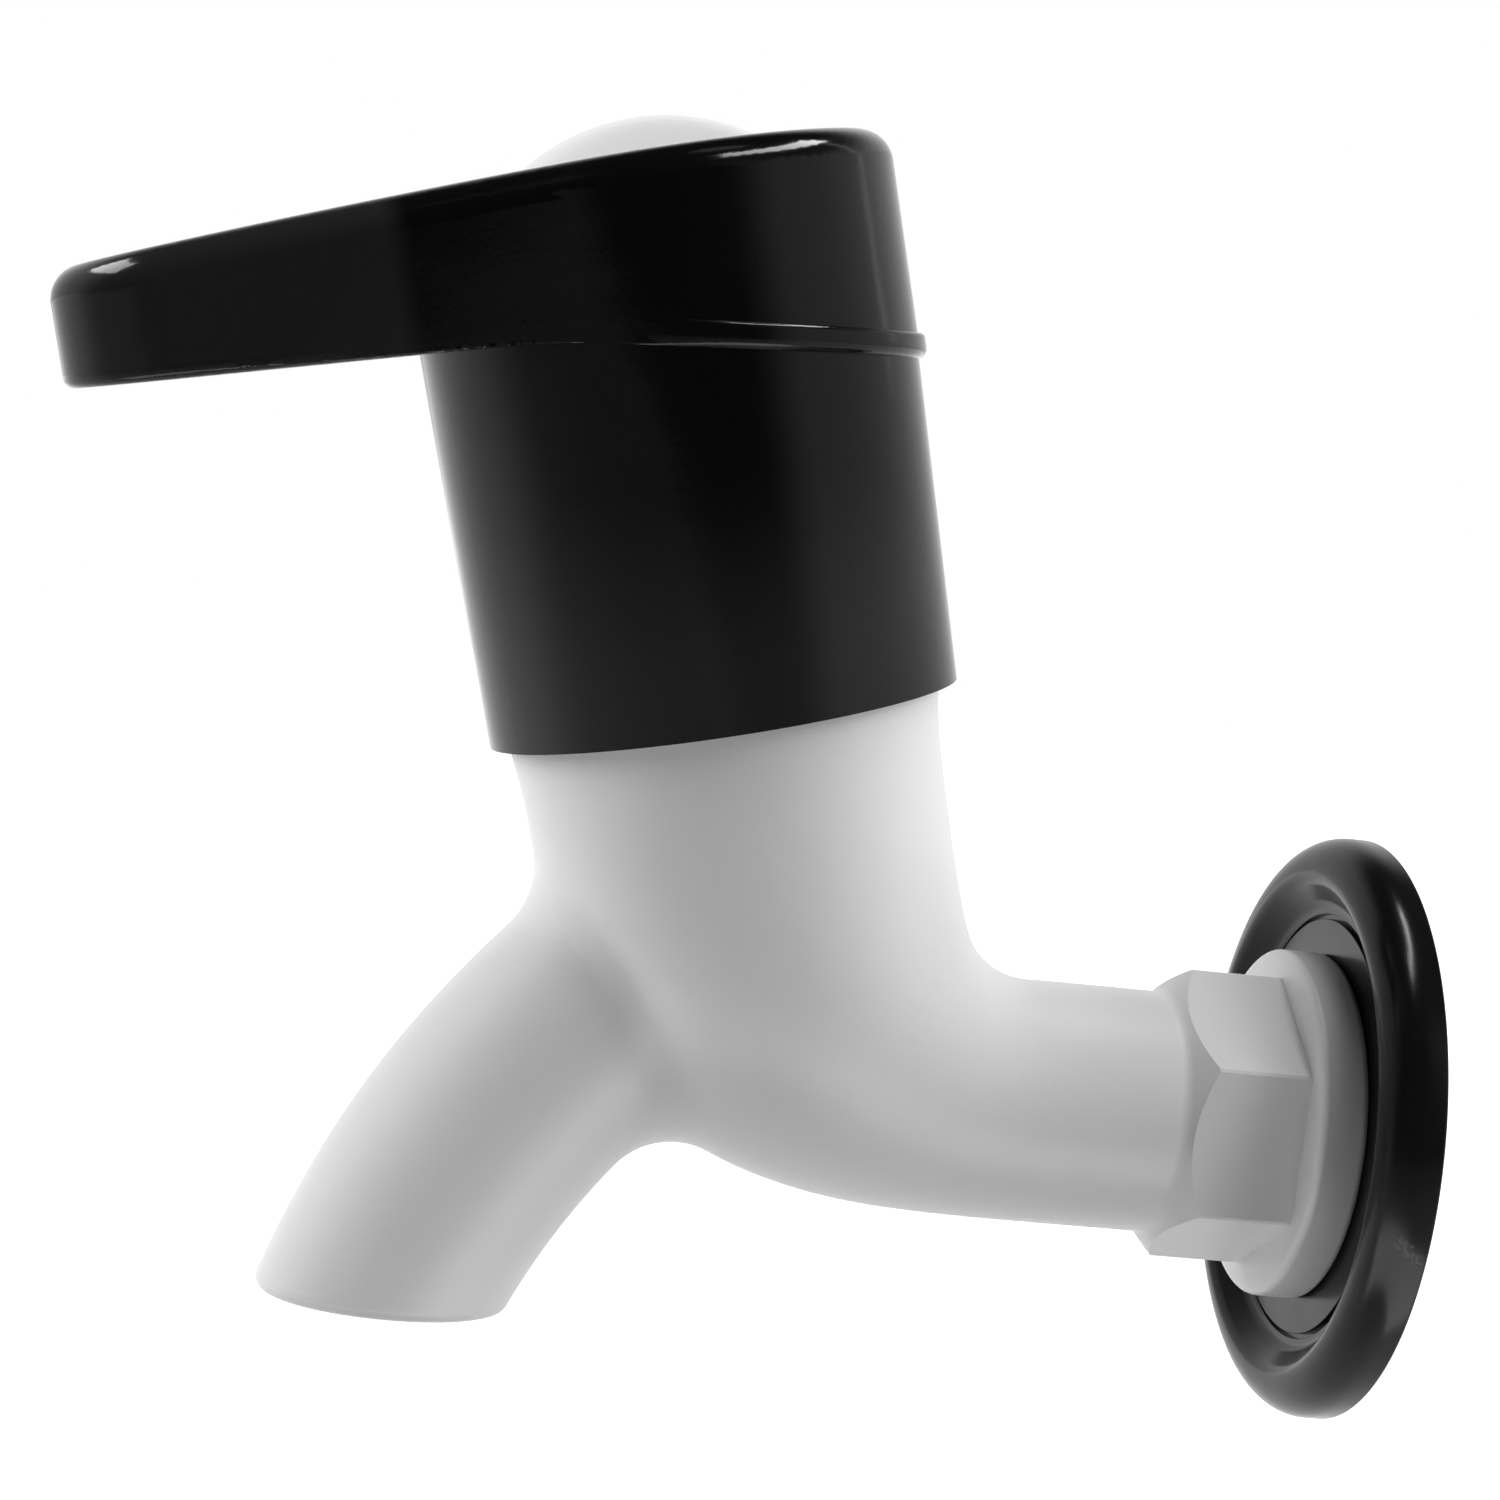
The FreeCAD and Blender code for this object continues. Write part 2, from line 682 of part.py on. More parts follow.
def top_level(forward):
    """The level of the lever's slightly crowned top."""
    slope = math.tan(math.radians(lever_top_slope))
    crown_radius = lever_crown_radius if forward > 0 else lever_back_crown_radius
    return lever_top - forward * slope - forward ** 2 / (2 * crown_radius)


def above_top(lowered):
    """All that lies over the lever's top, lowered by a distance."""
    places = [hub_radius * step for step in range(-crown_points, crown_points + 1)]
    points = [Vector(0, -forward, top_level(forward) - lowered) for forward in places]
    crown = Part.BSplineCurve()
    crown.interpolate(points)
    rear_roof = Vector(0, points[0].y, far)
    fore_roof = Vector(0, points[-1].y, far)
    return side_prism([
        crown, Part.LineSegment(points[-1], fore_roof),
        Part.LineSegment(fore_roof, rear_roof), Part.LineSegment(rear_roof, points[0])])


def is_upright(edge):
    box = edge.BoundBox
    return box.XLength < 0.01 and box.YLength < 0.01


def handle_skirt():
    """Sleeve round the barrel with a proud band on top, which runs on as a plate under the lever."""
    sleeve_top = joint_bend_level + band_height
    sleeve = turned([(skirt_bore, skirt_bottom), (skirt_bottom_radius, skirt_bottom),
                     (hub_radius, sleeve_top), (skirt_bore, sleeve_top)])
    sleeve = sleeve.common(below_joint(overlap))
    block = handle_block(band_proud, 0)
    under = below_joint(0)
    over = below_joint(band_height)
    band = block.common(over).cut(under)
    band = band.makeFillet(band_foot_round, [edge for edge in band.Edges if on_both(edge, block, under)])
    band = band.makeFillet(band_round, [edge for edge in band.Edges if on_both(edge, block, over)])
    spigot_radius = hub_radius - lever_wall - spigot_clearance
    band = band.cut(rod(spigot_radius - spigot_wall, 0, far))
    spigot = ring(spigot_radius - spigot_wall, spigot_radius, skirt_bottom, lever_top)
    spigot = spigot.common(below_joint(band_height + spigot_height)).cut(below_joint(overlap))
    return on_axis(sleeve.fuse([band, spigot]))


def handle_lever():
    """Hollow lever: a shell with ribs, a splined boss under it and a well for the screw on top."""
    block = handle_block(0, 0).cut(above_top(0)).cut(below_joint(band_height))
    tip_level = top_level(lever_reach) - overlap
    crown = [edge for edge in block.Edges if not is_upright(edge) and edge.BoundBox.ZMin > tip_level]
    shell = block.makeFillet(lever_edge_round, crown)
    cavity = handle_block(-lever_wall, -lever_wall).cut(above_top(lever_wall))
    cavity = cavity.cut(rod(far, 0, boss_bottom))
    ribs = rib(45, hub_radius).fuse([rib(135, hub_radius), rib(225, hub_radius), rib(315, hub_radius),
                                     rib(270, lever_reach)])
    ribs = ribs.common(cavity).cut(below_joint(band_height + spigot_height + spigot_clearance))
    well = rod(well_radius + well_wall, spindle_top, lever_top).cut(above_top(lever_wall / 2))
    boss = rod(spline_radius + boss_wall, boss_bottom, spindle_top + overlap)
    shell = shell.cut(cavity).fuse([well, boss, ribs])
    shell = shell.cut(rod(well_radius, web_top, far))
    shell = shell.cut(rod(cap_radius + cap_clearance, cap_floor, far))
    shell = shell.cut(rod(screw_hole_radius, boss_bottom - through, far))
    return on_axis(shell.cut(splined(spline_radius + spline_clearance, boss_bottom - through, spindle_top)))


def rib(angle, reach):
    """An upright rib that runs out from the boss."""
    wall = Part.makeBox(reach - spline_radius - lever_wall / 2, rib_thickness, lever_top - boss_bottom,
                        Vector(spline_radius + boss_wall / 2, -rib_thickness / 2, boss_bottom))
    wall.rotate(Vector(0, 0, 0), Vector(0, 0, 1), angle)
    return wall


def handle_cap():
    """Domed cover, plain, with a short skirt that snaps into the lever's well."""
    arch = cap_rise - cap_edge
    dome_radius = (cap_radius ** 2 + arch ** 2) / (2 * arch)
    apex = cap_floor + cap_rise
    middle = Vector(0, 0, apex - dome_radius)
    snap_radius = well_radius - cap_clearance
    dome = Part.makeSphere(dome_radius, middle).common(rod(cap_radius, cap_floor, apex + through))
    hollow = Part.makeSphere(dome_radius - cap_wall, middle).common(
        rod(snap_radius - cap_wall, cap_floor - through, apex))
    snap = ring(snap_radius - cap_wall, snap_radius, cap_floor - cap_skirt_depth, cap_floor + overlap)
    return on_axis(dome.cut(hollow).fuse(snap))


def screw_washer():
    return on_axis(ring(screw_hole_radius, screw_head_radius + screw_washer_brim, web_top, screw_seat))


def handle_screw():
    """Pan-head screw with a cross slot, down through the lever into the spindle."""
    head_top = screw_seat + screw_head_height
    head = rod(screw_head_radius, screw_seat, head_top)
    head = head.makeFillet(screw_head_round, circles_at(head, screw_head_radius, head_top))
    solid = head.fuse(rod(screw_radius, screw_seat - screw_length, screw_seat + overlap))
    corner = Vector(-screw_slot_length / 2, -screw_slot_width / 2, head_top - screw_slot_depth)
    for turn in (0, 90):
        slot = Part.makeBox(screw_slot_length, screw_slot_width, screw_slot_depth + through, corner)
        slot.rotate(Vector(0, 0, 0), Vector(0, 0, 1), turn)
        solid = solid.cut(slot)
    return on_axis(solid)


nodes = {
    "tap_body": tap_body,
    "wall_flange": wall_flange,
    "seat_seal": seat_seal,
    "fixed_disc": fixed_disc,
    "moving_disc": moving_disc,
    "headwork_body": headwork_body,
    "headwork_gasket": headwork_gasket,
    "spindle": spindle,
    "spindle_oring_lower": lambda: spindle_oring(0),
    "spindle_oring_upper": lambda: spindle_oring(1),
    "friction_washer": friction_washer,
    "retaining_clip": retaining_clip,
    "handle_skirt": handle_skirt,
    "handle_lever": handle_lever,
    "handle_cap": handle_cap,
    "screw_washer": screw_washer,
    "handle_screw": handle_screw,
}

os.makedirs("parts", exist_ok=True)
for name, make in nodes.items():
    shape = make().removeSplitter()
    print(name, shape.isValid(), len(shape.Solids), round(shape.Volume, 1))
    shape.exportStep("parts/" + name + ".step")
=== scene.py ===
import bmesh
import bpy
import math
from mathutils import Matrix, Vector
from mathutils.bvhtree import BVHTree


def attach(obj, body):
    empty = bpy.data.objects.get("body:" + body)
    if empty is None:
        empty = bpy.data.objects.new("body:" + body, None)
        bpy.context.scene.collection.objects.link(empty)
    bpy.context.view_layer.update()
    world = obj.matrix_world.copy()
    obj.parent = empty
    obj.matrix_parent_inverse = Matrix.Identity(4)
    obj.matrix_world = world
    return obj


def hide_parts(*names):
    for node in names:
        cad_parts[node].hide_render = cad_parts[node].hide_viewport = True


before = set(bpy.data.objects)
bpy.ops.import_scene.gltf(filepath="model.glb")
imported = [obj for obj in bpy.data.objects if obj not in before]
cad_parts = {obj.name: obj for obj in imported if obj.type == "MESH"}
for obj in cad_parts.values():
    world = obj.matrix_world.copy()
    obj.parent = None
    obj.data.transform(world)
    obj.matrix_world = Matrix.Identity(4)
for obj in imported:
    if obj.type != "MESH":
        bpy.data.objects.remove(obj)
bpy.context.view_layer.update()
scene = bpy.context.scene

# The view: the tap is seen almost square on to its right-hand side, from a little above its middle, by
# a long lens close by. The camera is slightly rolled, as the photograph is.
lens_mm = 103.2
sensor_mm = 36.0
nearest_seen = 0.01
camera_place = Vector((0.41208, -0.15791, 0.05780))
camera_right = Vector((0.2097, 0.9705, 0.1185))
camera_back = Vector((0.9741, -0.2179, 0.0607)).normalized()
camera_up = camera_back.cross(camera_right).normalized()
camera_right = camera_up.cross(camera_back).normalized()
camera_data = bpy.data.cameras.new("camera")
camera_data.lens = lens_mm
camera_data.sensor_width = sensor_mm
camera_data.clip_start = nearest_seen
camera = bpy.data.objects.new("camera", camera_data)
camera_turn = Matrix((camera_right, camera_up, camera_back)).transposed()
camera.matrix_world = Matrix.Translation(camera_place) @ camera_turn.to_4x4()
scene.collection.objects.link(camera)
scene.camera = camera
scene.view_settings.view_transform = "Standard"


# The surround: a white studio tent. Dark cloth hangs overhead and where the photographer stands, so that
# round pieces darken in the middle and brighten at their sides. The camera looks through the cloth.
class Signal:
    """One output of a node. Arithmetic on it adds Math nodes."""

    def __init__(self, bench, socket):
        self.bench = bench
        self.socket = socket

    def maths(self, operation, *numbers):
        return self.bench.node("ShaderNodeMath", {"operation": operation}, numbers)

    def __add__(self, other):
        return self.maths("ADD", self, other)

    __radd__ = __add__

    def __mul__(self, other):
        return self.maths("MULTIPLY", self, other)

    __rmul__ = __mul__

    def __sub__(self, other):
        return self.maths("SUBTRACT", self, other)

    def __rsub__(self, other):
        return self.maths("SUBTRACT", other, self)

    def __gt__(self, other):
        return self.maths("GREATER_THAN", self, other)

    def smooth(self, low, high):
        """Runs softly from 0 at low to 1 at high."""
        return self.bench.node("ShaderNodeMapRange", {"interpolation_type": "SMOOTHSTEP"},
                               {"Value": self, "From Min": low, "From Max": high})


class Bench:
    """A tree of nodes being built."""

    def __init__(self, tree):
        self.tree = tree

    def node(self, kind, settings, values, output=0):
        """Adds a node: its settings first, then the values or links of its sockets."""
        made = self.tree.nodes.new(kind)
        for key, value in settings.items():
            setattr(made, key, value)
        pairs = values.items() if isinstance(values, dict) else enumerate(values)
        for key, value in pairs:
            self.feed(made.inputs[key], value)
        return Signal(self, made.outputs[output])

    def feed(self, socket, value):
        if isinstance(value, Signal):
            self.tree.links.new(value.socket, socket)
        else:
            socket.default_value = value


def grey(value):
    return (value, value, value, 1)


def seen_rays(bench):
    """1 for what the camera, gloss or glass sees, and 0 for light on its way to a matt surface."""
    camera_ray, gloss_ray, glass_ray = [
        bench.node("ShaderNodeLightPath", {}, {}, kind)
        for kind in ("Is Camera Ray", "Is Glossy Ray", "Is Transmission Ray")]
    return camera_ray.maths("MAXIMUM", camera_ray, gloss_ray.maths("MAXIMUM", gloss_ray, glass_ray))


tent_level = 0.92
world = bpy.data.worlds.new("tent")
world.use_nodes = True
scene.world = world
tent = Bench(world.node_tree)
lit = tent.node("ShaderNodeBackground", {}, {"Color": grey(1.0), "Strength": tent_level})
seen = tent.node("ShaderNodeBackground", {}, {"Color": grey(1.0), "Strength": 1.0})
tent.feed(world.node_tree.nodes["World Output"].inputs["Surface"],
          tent.node("ShaderNodeMixShader", {}, (seen_rays(tent), lit, seen)))


class Finish(Bench):
    """A material, built node by node onto its Principled shader."""

    def __init__(self, name, **values):
        self.material = bpy.data.materials.new(name)
        self.material.use_nodes = True
        super().__init__(self.material.node_tree)
        self.shader = self.tree.nodes["Principled BSDF"]
        self.set(**values)

    def set(self, **values):
        """Sets the shader's sockets, named as in the panel but with _ for a space."""
        for key, value in values.items():
            self.feed(self.shader.inputs[key.replace("_", " ")], value)

    def place(self):
        return self.node("ShaderNodeTexCoord", {}, {}, "Object")

    def noise(self, scale, detail=2.0, roughness=0.5):
        """A cloudy pattern from 0 to 1, with scale cells to the metre."""
        return self.node("ShaderNodeTexNoise", {"noise_dimensions": "3D"},
                         {"Vector": self.place(), "Scale": scale, "Detail": detail, "Roughness": roughness})

    def now(self, socket):
        """What already feeds one of the shader's sockets."""
        return Signal(self, self.shader.inputs[socket].links[0].from_socket)

    def along(self, place, way):
        """How far a place lies along a direction."""
        return self.node("ShaderNodeVectorMath", {"operation": "DOT_PRODUCT"}, (place, way), "Value")

    def unit(self, place):
        """The direction towards a place."""
        return self.node("ShaderNodeVectorMath", {"operation": "NORMALIZE"}, (place,))

    def apart(self, centre):
        """The distance from a point."""
        return self.node("ShaderNodeVectorMath", {"operation": "DISTANCE"}, (self.place(), centre), "Value")

    def specks(self, scale, size, rarity):
        """Tiny round dots, one in a few of the cells of a 3-D pattern."""
        cells = {"Vector": self.place(), "Scale": scale}
        near = self.node("ShaderNodeTexVoronoi", {}, cells, "Distance")
        chance = self.node("ShaderNodeTexVoronoi", {}, cells, "Color")
        return near.smooth(size, size / 2) * (chance > rarity)

    def mix(self, share, first, second):
        """A colour between two colours."""
        return self.node("ShaderNodeMix", {"data_type": "RGBA"}, {0: share, 6: first, 7: second}, 2)

    def rough_up(self, height, distance):
        """Raises the surface in the shading by a height signal."""
        self.set(Normal=self.node("ShaderNodeBump", {}, {"Height": height, "Distance": distance}))


def linked(name, data):
    """A new object in the scene."""
    thing = bpy.data.objects.new(name, data)
    scene.collection.objects.link(thing)
    return thing


def stage_piece(name, corners, faces, finish):
    """A part of the studio, not of the tap."""
    mesh = bpy.data.meshes.new(name)
    mesh.from_pydata(corners, [], faces)
    mesh.materials.append(finish.material)
    sheet = linked(name, mesh)
    return sheet


room_radius = 1.2
room_towards = Vector((0.88, -0.47, 0.0)).normalized()
room_front_edges = (math.cos(math.radians(78)), math.cos(math.radians(48)))
room_table_edges = (-0.13, -0.05)
room_ceiling_edges = (math.sin(math.radians(28)), math.sin(math.radians(55)))
room_dip = 0.12
room_rings = 24
room_sides = 48
room_cloth = Finish("dark_cloth", Base_Color=grey(0.02), Roughness=1.0)
heading = room_cloth.unit(room_cloth.place())
height = room_cloth.node("ShaderNodeSeparateXYZ", {}, (heading,), "Z")
front = room_cloth.along(heading, room_towards).smooth(*room_front_edges) * height.smooth(*room_table_edges)
room_cloth.set(Alpha=front.maths("MAXIMUM", front, height.smooth(*room_ceiling_edges)))
room_corners = [(room_radius * math.cos(turn) * math.cos(rise), room_radius * math.sin(turn) * math.cos(rise),
                 room_radius * math.sin(rise))
                for rise in (math.pi / 2 * ring / room_rings - room_dip for ring in range(room_rings + 1))
                for turn in (2 * math.pi * side / room_sides for side in range(room_sides))]
room_faces = [(ring * room_sides + side, ring * room_sides + (side + 1) % room_sides,
               (ring + 1) * room_sides + (side + 1) % room_sides, (ring + 1) * room_sides + side)
              for ring in range(room_rings) for side in range(room_sides)]
stage_piece("dark_room", room_corners, room_faces, room_cloth).visible_camera = False


# Studio lamps: softboxes above the tap and at both its sides. Bowed strips, which only gloss shows, draw
# the short bright lines on the hub, on the lever's tip and on the flange's crest.
middle_of_tap = Vector((0.0, -0.06, 0.03))
hub_top = Vector((0.0, -0.084, 0.088))
lever_tip = Vector((0.003, -0.130, 0.058))
strip_parts = 24


def softbox(name, place, size, power):
    """A rectangular lamp aimed at the tap. Gloss does not show it."""
    data = bpy.data.lights.new(name, "AREA")
    data.shape = "RECTANGLE"
    data.size, data.size_y = size
    data.energy = power
    lamp = linked(name, data)
    aimed = (middle_of_tap - Vector(place)).to_track_quat("-Z", "Y").to_matrix().to_4x4()
    lamp.matrix_world = Matrix.Translation(Vector(place)) @ aimed
    lamp.visible_glossy = False


def bowed_strip(name, centre, distance, azimuths, rise, breadth, strength):
    """A strip lamp bent along an arc round a centre, placed in degrees. Only gloss shows it."""
    tube = Finish(name, Base_Color=grey(0.0), Specular_IOR_Level=0.0)
    tube.set(Emission_Color=grey(1.0), Emission_Strength=strength)
    start, end = azimuths
    corners = []
    for part in range(strip_parts + 1):
        azimuth = math.radians(start + (end - start) * part / strip_parts)
        for edge in (rise - breadth / 2, rise + breadth / 2):
            tilt = math.radians(edge)
            level_reach = distance * math.cos(tilt)
            corners.append(centre + Vector((math.cos(azimuth) * level_reach, math.sin(azimuth) * level_reach,
                                            math.sin(tilt) * distance)))
    faces = [(2 * part, 2 * part + 1, 2 * part + 3, 2 * part + 2) for part in range(strip_parts)]
    strip = stage_piece(name, corners, faces, tube)
    strip.visible_camera = False
    strip.visible_diffuse = False
    strip.visible_shadow = False


softbox("overhead", place=(0.20, 0.14, 0.46), size=(0.10, 0.7), power=1.9)
softbox("front_side", place=(-0.10, -0.63, 0.25), size=(0.45, 0.45), power=2.6)
softbox("wall_side", place=(-0.04, 0.53, 0.24), size=(0.40, 0.40), power=1.2)
bowed_strip("tip_strip", lever_tip, distance=0.1, azimuths=(-125, -72), rise=50, breadth=20, strength=18)
bowed_strip("hub_strip", hub_top, distance=0.15, azimuths=(18, 105), rise=55, breadth=11, strength=24)
bowed_strip("upright_strip", hub_top, distance=0.6, azimuths=(104, 108), rise=30, breadth=38, strength=1.9)
bowed_strip("low_strip", middle_of_tap, distance=0.2, azimuths=(-80, 60), rise=-46, breadth=22, strength=5)


# The floor: matt white paper far under the tap, which its wall carries. What the camera and the gloss
# see of it is lifted to white, the more so far out, and the tap's soft shadow stays in it.
floor_level = -0.14
floor_reach = 4.0
floor_lift = 0.75
far_lift = 0.25
far_edges = (0.3, 0.9)
front_shade = 0.8
paper = Finish("floor_paper", Roughness=0.9)
paper.set(Base_Color=paper.mix(paper.noise(scale=900), grey(0.54), grey(0.58)))
front = paper.along(paper.unit(paper.place()), room_towards).smooth(*room_front_edges)
in_gloss = paper.node("ShaderNodeLightPath", {}, {}, "Is Glossy Ray")
far = paper.apart((0.0, 0.0, floor_level)).smooth(*far_edges)
# In front of the tap the lift is turned down for gloss only: painted shade in what the glossy pieces reflect
# of the floor there.
lift = seen_rays(paper) * (1 - front_shade * in_gloss * front) * (floor_lift + far_lift * far)
paper.set(Emission_Color=paper.mix(lift, grey(0.0), grey(1.0)), Emission_Strength=1.0)
stage_piece("floor", [(x * floor_reach, y * floor_reach, floor_level)
                      for x, y in ((-1, -1), (1, -1), (1, 1), (-1, 1))], [(0, 1, 2, 3)], paper)


# The wall flange: a loose trim plate of black moulded plastic, trapped between the collar and the wall.
# It is a turned form: a rolled rim, a dished face and a fine groove round its middle.
mm = 0.001
flange_radius = 29.5
flange_height = 5.6
flange_seat = 3.3
flange_wall = 1.9
flange_hole = 10.88
rim_inside = 24.9
dish_radius = 22.7
dish_level = 3.1
groove_inside = 21.15
groove_outside = 21.65
groove_floor = 2.6
shoulder_round = 4.2
crest_round = 1.9
foot_round = 1.5
groove_round = 0.1
edge_round = 0.3
back_level = 1.6
back_round = 0.8
turned_steps = 256
round_steps = 10
weld_reach = 1e-6
sliver_reach = 1e-7
flange_outline = [
    (flange_hole, flange_seat - flange_wall, 0), (flange_hole, flange_seat, 0),
    (groove_inside, flange_seat, groove_round), (groove_inside, groove_floor, 0),
    (groove_outside, groove_floor, 0), (groove_outside, dish_level, groove_round),
    (dish_radius, dish_level, foot_round), (rim_inside, flange_height, crest_round),
    (flange_radius, flange_height, shoulder_round), (flange_radius, 0, edge_round),
    (flange_radius - flange_wall, 0, 0), (flange_radius - flange_wall, back_level, back_round),
    (rim_inside, flange_height - flange_wall, back_round), (dish_radius, flange_seat - flange_wall, 0)]


def new_tree(name, **sizes):
    """A geometry tree with a named input for each size, and its bench."""
    tree = bpy.data.node_groups.new(name, "GeometryNodeTree")
    tree.interface.new_socket("Geometry", in_out="INPUT", socket_type="NodeSocketGeometry")
    sockets = {}
    for key, kind in sizes.items():
        socket = tree.interface.new_socket(key, in_out="INPUT", socket_type="NodeSocket" + kind)
        sockets[key] = socket.identifier
    tree.interface.new_socket("Geometry", in_out="OUTPUT", socket_type="NodeSocketGeometry")
    bench = Bench(tree)
    entry = tree.nodes.new("NodeGroupInput")
    given = {key: Signal(bench, entry.outputs[key]) for key in ("Geometry", *sizes)}
    return bench, given, sockets


def close_tree(bench, geometry, material):
    """Ends a geometry tree: makes what it built real, and gives it its material."""
    real = bench.node("GeometryNodeRealizeInstances", {}, (geometry,))
    finished = bench.node("GeometryNodeSetMaterial", {}, {"Geometry": real, "Material": material})
    bench.feed(bench.tree.nodes.new("NodeGroupOutput").inputs[0], finished)


def made_plain(name, rough):
    """The plain mesh of a rough piece and its modifiers. The rough piece is thrown away."""
    depsgraph = bpy.context.evaluated_depsgraph_get()
    mesh = bpy.data.meshes.new_from_object(rough.evaluated_get(depsgraph), depsgraph=depsgraph)
    mesh.name = name
    bpy.data.objects.remove(rough)
    return mesh


def grown(name, start_mesh, bench, sockets, sharp, **values):
    """The plain mesh piece that a geometry tree makes from a starting mesh."""
    seed = linked(name + "_seed", start_mesh)
    growth = seed.modifiers.new("growth", "NODES")
    growth.node_group = bench.tree
    for key, value in values.items():
        growth[sockets[key]] = value
    mesh = made_plain(name, seed)
    work = bmesh.new()
    work.from_mesh(mesh)
    bmesh.ops.remove_doubles(work, verts=work.verts, dist=weld_reach)
    bmesh.ops.dissolve_degenerate(work, edges=work.edges, dist=sliver_reach)
    bmesh.ops.recalc_face_normals(work, faces=work.faces)
    work.to_mesh(mesh)
    work.free()
    mesh.shade_smooth()
    mesh.set_sharp_from_angle(angle=math.radians(sharp))
    return linked(name, mesh)


lathe, given, lathe_sockets = new_tree("turned_form", Steps="Int", Rounding="Int", Material="Material")
outline = lathe.node("GeometryNodeMeshToCurve", {}, (given["Geometry"],))
rounding = lathe.node("GeometryNodeInputNamedAttribute", {"data_type": "FLOAT"}, {"Name": "rounding"})
outline = lathe.node("GeometryNodeFilletCurve", {"mode": "POLY"},
                     {"Curve": outline, "Count": given["Rounding"], "Radius": rounding, "Limit Radius": True})
path = lathe.node("GeometryNodeCurvePrimitiveCircle", {"mode": "RADIUS"},
                  {"Resolution": given["Steps"], "Radius": 1.0})
path = lathe.node("GeometryNodeSetCurveNormal", {"mode": "Z_UP"}, (path,))
swept = lathe.node("GeometryNodeCurveToMesh", {}, {"Curve": path, "Profile Curve": outline})
to_wall = lathe.node("GeometryNodeTransform", {}, {"Geometry": swept, "Rotation": (math.radians(90), 0, 0)})
close_tree(lathe, to_wall, given["Material"])


def outline_mesh(name, points):
    """A closed outline of (radius, level, rounding) points, drawn where the turned form's tree wants it."""
    mesh = bpy.data.meshes.new(name)
    count = len(points)
    mesh.from_pydata([(radius * mm - 1.0, -level * mm, 0) for radius, level, rounding in points],
                     [(k, (k + 1) % count) for k in range(count)], [])
    mesh.attributes.new("rounding", "FLOAT", "POINT").data.foreach_set("value", [p[2] * mm for p in points])
    return mesh


def black_plastic(name, base, gloss):
    """Black moulded plastic: its skin waves a little, and fine dust lies on it."""
    finish = Finish(name, Specular_IOR_Level=0.15)
    dust = finish.specks(scale=420, size=0.11, rarity=0.93)
    waves = finish.noise(scale=55)
    grain = finish.noise(scale=2400)
    wiped = finish.noise(scale=160, detail=4.0)
    tone = finish.mix(waves, grey(base), grey(base * 1.6))
    finish.set(Base_Color=finish.mix(dust * 0.5, tone, grey(0.16)))
    finish.set(Roughness=gloss + 0.10 * (wiped - 0.5) + dust * 0.3)
    finish.rough_up(waves * 0.8 + grain * 0.03, distance=0.00020)
    return finish


flange_plastic = black_plastic("flange_plastic", base=0.005, gloss=0.20)
scuff_places = ((0.0284, -0.0030, -0.0066), (0.0285, -0.0021, -0.0073), (0.0283, -0.0012, -0.0082))
scuff_size = 0.0009
scratches = flange_plastic.noise(scale=1900, detail=4.0, roughness=0.7).smooth(0.44, 0.56)
scuff = sum(flange_plastic.apart(spot).smooth(scuff_size, scuff_size / 3) for spot in scuff_places)
scuff = scuff * scratches
flange_plastic.set(Base_Color=flange_plastic.mix(scuff, flange_plastic.now("Base Color"), grey(0.13)))
flange_plastic.set(Roughness=flange_plastic.now("Roughness") + 0.5 * scuff)
flange = grown("wall_flange_shell", outline_mesh("flange_outline", flange_outline), lathe, lathe_sockets,
               sharp=40, Steps=turned_steps, Rounding=round_steps, Material=flange_plastic.material)
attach(flange, "tap")
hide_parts("wall_flange")


# The tap body: one white plastic moulding with a soft gloss. Spout, barrel, arm, hexagon, collar and
# tail come out of the mould in one piece, and the waterway is cored through it.
tail_core = 9.3 * mm
tail_start = -1.0001 * mm
merge_reach = 2e-6
sharp_edge = math.radians(28)


def moulded_copy(name, node, finish, fit=None, crease=None):
    """A merged copy of a solid's mesh, fitted where the real piece is finer than the solid, and shaded
    as the faces it was cut from. A crease rule adds edges across which the shading breaks."""
    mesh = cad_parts[node].data.copy()
    mesh.name = name
    work = bmesh.new()
    work.from_mesh(mesh)
    bmesh.ops.remove_doubles(work, verts=work.verts, dist=merge_reach)
    if fit:
        fit(work)
        bmesh.ops.dissolve_degenerate(work, edges=work.edges, dist=merge_reach)
    work.normal_update()
    for face in work.faces:
        face.smooth = True
    for edge in work.edges:
        creased = crease is not None and crease(edge)
        edge.smooth = edge.calc_face_angle(0.0) < sharp_edge and not creased
    work.to_mesh(mesh)
    work.free()
    mesh.materials.clear()
    mesh.materials.append(finish.material)
    rough = linked(name + "_rough", mesh)
    rough.modifiers.new("shading", "WEIGHTED_NORMAL").keep_sharp = True
    return linked(name, made_plain(name, rough))


def white_plastic(name, base, gloss):
    """White moulded plastic: slight flow marks, a fine grain in the gloss, and a little dust."""
    finish = Finish(name, Specular_IOR_Level=0.2)
    flow = finish.noise(scale=38, detail=3.0)
    grain = finish.noise(scale=2600)
    handled = finish.noise(scale=190, detail=4.0)
    dust = finish.specks(scale=260, size=0.07, rarity=0.95)
    tone = finish.mix(flow, grey(base), grey(base * 1.03))
    finish.set(Base_Color=finish.mix(dust * 0.35, tone, grey(0.35)))
    finish.set(Roughness=gloss + 0.12 * (handled - 0.5))
    finish.rough_up(flow * 0.8 + grain * 0.05, distance=0.00016)
    return finish


def room_for_thread(work):
    """Takes the tail down to the thread's core."""
    for vert in work.verts:
        reach = math.hypot(vert.co.x, vert.co.z)
        if vert.co.y > tail_start and reach > tail_core:
            vert.co.x *= tail_core / reach
            vert.co.z *= tail_core / reach


